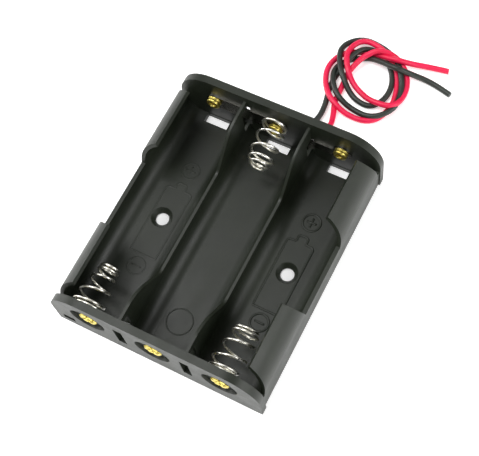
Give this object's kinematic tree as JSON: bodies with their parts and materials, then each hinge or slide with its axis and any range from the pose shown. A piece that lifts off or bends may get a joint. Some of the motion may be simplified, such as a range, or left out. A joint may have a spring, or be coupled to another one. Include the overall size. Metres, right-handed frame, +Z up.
{
  "type": "cylindrical cell holder",
  "caption": "Open moulded tray that holds cylindrical cells side by side between riveted spring and eyelet contacts, with two loose wire leads.",
  "frame": {"origin": "middle of the case's flat underside, on the surface it stands on", "axes": "+Y along the cells to the end wall that the leads leave, +Z up out of the open top, +X across the bays to the right"},
  "size_m": [0.0529, 0.0884, 0.015],
  "materials": {
    "case": "satin moulded",
    "plate": "nickel plated",
    "eyelet": "bright",
    "spring": "nickel plated",
    "strands": "tinned copper",
    "solder": "bright",
    "red_jacket": "soft satin",
    "black_jacket": "soft satin"
  },
  "bodies": {
    "holder": {"case": "case", "far_link_strip": "plate", "near_link_strip": "plate", "positive_tag": "plate", "negative_tag": "plate", "near_left_eyelet": "eyelet", "near_middle_eyelet": "eyelet", "near_right_eyelet": "eyelet", "far_left_eyelet": "eyelet", "far_middle_eyelet": "eyelet", "far_right_eyelet": "eyelet", "positive_strands": "strands", "positive_solder": "solder", "negative_strands": "strands", "negative_solder": "solder", "black_lead_inner": "black_jacket", "lead_coil": "red_jacket", "red_lead_start": "red_jacket", "black_lead_start": "black_jacket", "red_lead_tail": "red_jacket", "black_lead_tail": "black_jacket"},
    "near_left_coil": {"near_left_spring": "spring"},
    "near_right_coil": {"near_right_spring": "spring"},
    "far_middle_coil": {"far_middle_spring": "spring"}
  },
  "joints": [
    {"name": "near_left_press", "type": "slide", "parent": "holder", "child": "near_left_coil", "axis": [0, -1, 0], "range_m": [0, 0.0084], "stiffness_N_per_m": 250, "deforming": ["near_left_spring"]},
    {"name": "near_right_press", "type": "slide", "parent": "holder", "child": "near_right_coil", "axis": [0, -1, 0], "range_m": [0, 0.0084], "stiffness_N_per_m": 250, "deforming": ["near_right_spring"]},
    {"name": "far_middle_press", "type": "slide", "parent": "holder", "child": "far_middle_coil", "axis": [0, 1, 0], "range_m": [0, 0.0084], "stiffness_N_per_m": 250, "deforming": ["far_middle_spring"]}
  ]
}
